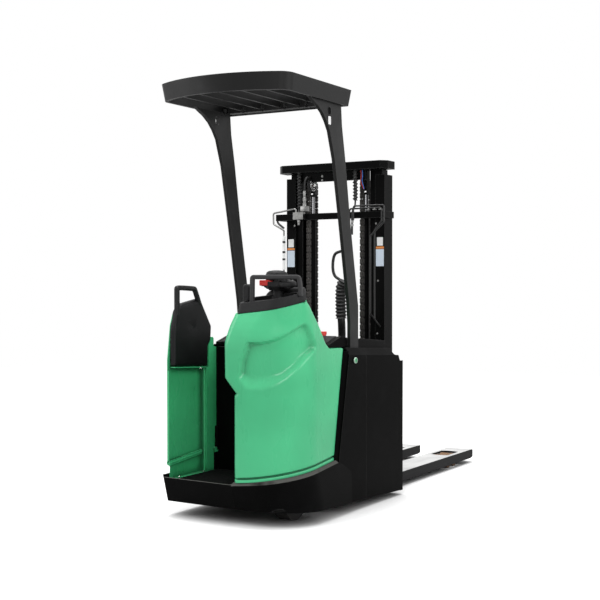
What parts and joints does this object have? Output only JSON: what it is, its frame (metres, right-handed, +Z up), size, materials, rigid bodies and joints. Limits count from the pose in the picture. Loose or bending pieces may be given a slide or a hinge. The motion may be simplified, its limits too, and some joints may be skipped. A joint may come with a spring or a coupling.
{
  "type": "electric pallet stacker",
  "caption": "Side-stance electric pallet stacker with overhead guard, two-stage mast, box forks over straddle legs and a moulded cover.",
  "frame": {"origin": "on the floor in the middle of the overall length and width", "axes": "+X the machine's right, +Y along the forks towards their tips, +Z up"},
  "size_m": [0.8219, 2.7299, 2.232],
  "materials": {
    "body_black": "satin black powder coat",
    "cover_green": "glossy green moulding",
    "panel_green": "gloss green paint",
    "pipe_steel": "zinc-plated pipe",
    "mast_black": "satin black paint",
    "soft_black": "grained black pad skin",
    "plastic_dark": "textured dark grey plastic",
    "red_button": "red",
    "rubber_mat": "ribbed rubber",
    "chain_steel": "oiled dark steel",
    "rod_chrome": "hard chrome",
    "tread": "polyurethane",
    "tyre_black": "solid tyre",
    "fork_paint": "gloss black paint",
    "plug_ring": "green plug in a pale ring"
  },
  "bodies": {
    "chassis": {"base_tub": "body_black", "platform_mat": "rubber_mat", "chassis_frame": "body_black", "cabin_bulkhead": "body_black", "side_covers": "body_black", "side_panels": "body_black", "lock_plug": "plug_ring", "battery": "body_black", "dash_ramp": "plastic_dark", "emergency_stop": "red_button", "left_panel": "panel_green", "back_pad": "soft_black", "pad_handle": "plastic_dark", "moulded_cover": "cover_green", "console": "plastic_dark", "grab_bar": "plastic_dark", "control_lever": "plastic_dark", "guard_posts": "body_black", "guard_roof": "body_black", "guard_bars": "body_black", "outer_rails": "mast_black", "mast_crossbar": "mast_black", "mast_hydraulics": "pipe_steel", "lift_barrels": "mast_black", "chains_rear": "chain_steel", "straddle_legs": "fork_paint", "drive_mount": "body_black"},
    "battery_lid": {"battery_hood": "plastic_dark"},
    "steering_head": {"tiller_head": "plastic_dark"},
    "inner_mast": {"inner_rails": "mast_black", "inner_head": "mast_black", "inner_foot_tie": "mast_black", "chain_sheaves": "chain_steel", "chain_wraps": "chain_steel", "lift_rods": "rod_chrome"},
    "lift_carriage": {"fork_carriage": "mast_black", "forks": "fork_paint", "chains_front": "chain_steel"},
    "drive_turret": {"drive_unit": "body_black"},
    "drive_wheel_body": {"drive_wheel": "tyre_black"},
    "caster_swivel_body": {"caster_fork": "body_black"},
    "caster_wheel_body": {"caster_wheel": "tyre_black"},
    "roller_left_rear": {"load_roller_left_rear": "tread"},
    "roller_left_front": {"load_roller_left_front": "tread"},
    "roller_right_rear": {"load_roller_right_rear": "tread"},
    "roller_right_front": {"load_roller_right_front": "tread"}
  },
  "joints": [
    {"name": "mast_lift", "type": "slide", "parent": "chassis", "child": "inner_mast", "axis": [0, 0, 1], "range_m": [0, 1.35], "deforming": ["chains_rear"]},
    {"name": "fork_lift", "type": "slide", "parent": "inner_mast", "child": "lift_carriage", "axis": [0, 0, 1], "range_m": [0, 1.35], "deforming": ["chains_front"]},
    {"name": "battery_lid_hinge", "type": "hinge", "parent": "chassis", "child": "battery_lid", "pos_m": [0, -0.132, 0.884], "axis": [-1, 0, 0], "range_deg": [0, 60]},
    {"name": "tiller_turn", "type": "hinge", "parent": "chassis", "child": "steering_head", "pos_m": [0.2, -1.045, 1.2], "axis": [0, 0, 1], "range_deg": [-90, 90]},
    {"name": "drive_steer", "type": "hinge", "parent": "chassis", "child": "drive_turret", "pos_m": [0.205, -0.94, 0.3], "axis": [0, 0, 1], "range_deg": [-90, 90]},
    {"name": "drive_wheel_spin", "type": "hinge", "parent": "drive_turret", "child": "drive_wheel_body", "pos_m": [0.205, -0.94, 0.115], "axis": [1, 0, 0], "continuous": true},
    {"name": "caster_swivel", "type": "hinge", "parent": "chassis", "child": "caster_swivel_body", "pos_m": [-0.25, -0.79, 0.15], "axis": [0, 0, 1], "continuous": true},
    {"name": "caster_wheel_spin", "type": "hinge", "parent": "caster_swivel_body", "child": "caster_wheel_body", "pos_m": [-0.25, -0.828, 0.062], "axis": [1, 0, 0], "continuous": true},
    {"name": "roller_left_rear_spin", "type": "hinge", "parent": "chassis", "child": "roller_left_rear", "pos_m": [-0.195, 1.028, 0.041], "axis": [1, 0, 0], "continuous": true},
    {"name": "roller_left_front_spin", "type": "hinge", "parent": "chassis", "child": "roller_left_front", "pos_m": [-0.195, 1.124, 0.041], "axis": [1, 0, 0], "continuous": true},
    {"name": "roller_right_rear_spin", "type": "hinge", "parent": "chassis", "child": "roller_right_rear", "pos_m": [0.195, 1.028, 0.041], "axis": [1, 0, 0], "continuous": true},
    {"name": "roller_right_front_spin", "type": "hinge", "parent": "chassis", "child": "roller_right_front", "pos_m": [0.195, 1.124, 0.041], "axis": [1, 0, 0], "continuous": true}
  ],
  "couplings": [
    {"joint": "fork_lift", "follows": "mast_lift", "ratio": 1},
    {"joint": "drive_steer", "follows": "tiller_turn", "ratio": 1}
  ]
}
